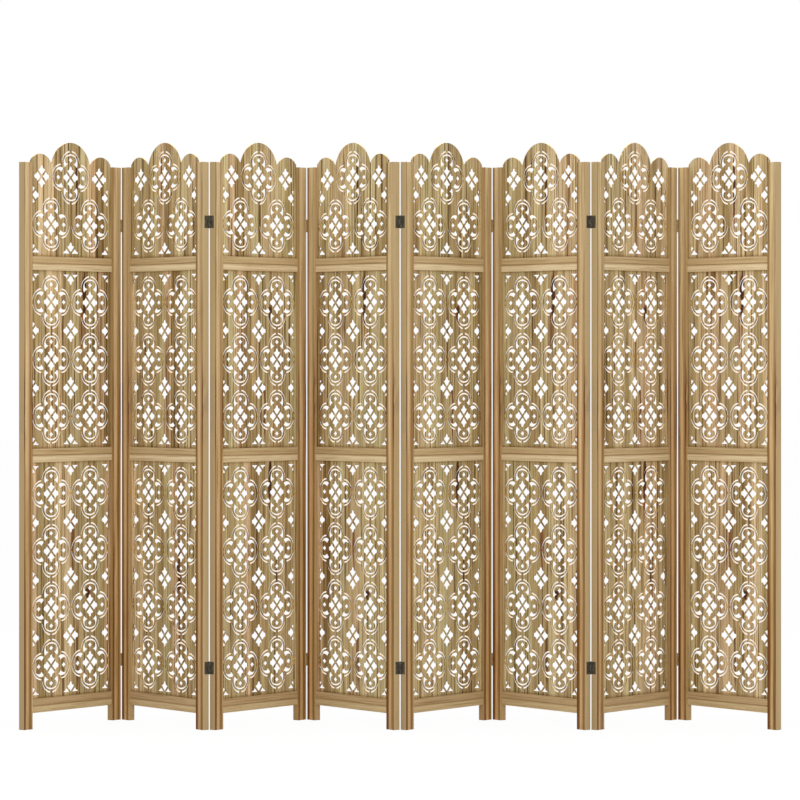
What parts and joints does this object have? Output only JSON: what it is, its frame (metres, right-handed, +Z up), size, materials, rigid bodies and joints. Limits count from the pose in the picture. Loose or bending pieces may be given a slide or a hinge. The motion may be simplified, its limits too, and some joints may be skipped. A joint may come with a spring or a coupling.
{
  "type": "folding screen",
  "caption": "Folding wooden room-divider screen of hinged panels, each a framed set of pierced lattice boards with an arched top.",
  "frame": {"origin": "centre of the bounding box on the floor", "axes": "+X along the screen from its first panel to its last, +Y from the front to the back, +Z up"},
  "size_m": [2.1308, 0.3254, 1.65],
  "materials": {
    "stile_wood": "satin, lengthwise grain stripes",
    "rail_wood": "satin, lengthwise grain",
    "board_wood": "satin, upright plank grain",
    "black_steel": "satin black"
  },
  "bodies": {
    "panel_1": {"panel_1_left_stile": "stile_wood", "panel_1_right_stile": "stile_wood", "panel_1_rails": "rail_wood", "panel_1_bottom_board": "board_wood", "panel_1_middle_board": "board_wood", "panel_1_top_board": "board_wood", "panel_1_hinges": "black_steel"},
    "panel_2": {"panel_2_left_stile": "stile_wood", "panel_2_right_stile": "stile_wood", "panel_2_rails": "rail_wood", "panel_2_bottom_board": "board_wood", "panel_2_middle_board": "board_wood", "panel_2_top_board": "board_wood", "panel_2_hinges": "black_steel"},
    "panel_3": {"panel_3_left_stile": "stile_wood", "panel_3_right_stile": "stile_wood", "panel_3_rails": "rail_wood", "panel_3_bottom_board": "board_wood", "panel_3_middle_board": "board_wood", "panel_3_top_board": "board_wood", "panel_3_hinges": "black_steel"},
    "panel_4": {"panel_4_left_stile": "stile_wood", "panel_4_right_stile": "stile_wood", "panel_4_rails": "rail_wood", "panel_4_bottom_board": "board_wood", "panel_4_middle_board": "board_wood", "panel_4_top_board": "board_wood", "panel_4_hinges": "black_steel"},
    "panel_5": {"panel_5_left_stile": "stile_wood", "panel_5_right_stile": "stile_wood", "panel_5_rails": "rail_wood", "panel_5_bottom_board": "board_wood", "panel_5_middle_board": "board_wood", "panel_5_top_board": "board_wood", "panel_5_hinges": "black_steel"},
    "panel_6": {"panel_6_left_stile": "stile_wood", "panel_6_right_stile": "stile_wood", "panel_6_rails": "rail_wood", "panel_6_bottom_board": "board_wood", "panel_6_middle_board": "board_wood", "panel_6_top_board": "board_wood", "panel_6_hinges": "black_steel"},
    "panel_7": {"panel_7_left_stile": "stile_wood", "panel_7_right_stile": "stile_wood", "panel_7_rails": "rail_wood", "panel_7_bottom_board": "board_wood", "panel_7_middle_board": "board_wood", "panel_7_top_board": "board_wood", "panel_7_hinges": "black_steel"},
    "panel_8": {"panel_8_left_stile": "stile_wood", "panel_8_right_stile": "stile_wood", "panel_8_rails": "rail_wood", "panel_8_bottom_board": "board_wood", "panel_8_middle_board": "board_wood", "panel_8_top_board": "board_wood", "panel_8_hinges": "black_steel"}
  },
  "joints": [
    {"name": "fold_3", "type": "hinge", "parent": "panel_4", "child": "panel_3", "pos_m": [-0.26673, 0.15039, 0.8], "axis": [0, 0, -1], "range_deg": [-76.8, 103.2]},
    {"name": "fold_2", "type": "hinge", "parent": "panel_3", "child": "panel_2", "pos_m": [-0.53345, -0.15039, 0.8], "axis": [0, 0, 1], "range_deg": [-76.8, 103.2]},
    {"name": "fold_1", "type": "hinge", "parent": "panel_2", "child": "panel_1", "pos_m": [-0.80018, 0.15039, 0.8], "axis": [0, 0, -1], "range_deg": [-76.8, 103.2]},
    {"name": "fold_4", "type": "hinge", "parent": "panel_4", "child": "panel_5", "pos_m": [0, -0.15039, 0.8], "axis": [0, 0, -1], "range_deg": [-76.8, 103.2]},
    {"name": "fold_5", "type": "hinge", "parent": "panel_5", "child": "panel_6", "pos_m": [0.26673, 0.15039, 0.8], "axis": [0, 0, 1], "range_deg": [-76.8, 103.2]},
    {"name": "fold_6", "type": "hinge", "parent": "panel_6", "child": "panel_7", "pos_m": [0.53345, -0.15039, 0.8], "axis": [0, 0, -1], "range_deg": [-76.8, 103.2]},
    {"name": "fold_7", "type": "hinge", "parent": "panel_7", "child": "panel_8", "pos_m": [0.80018, 0.15039, 0.8], "axis": [0, 0, 1], "range_deg": [-76.8, 103.2]}
  ]
}
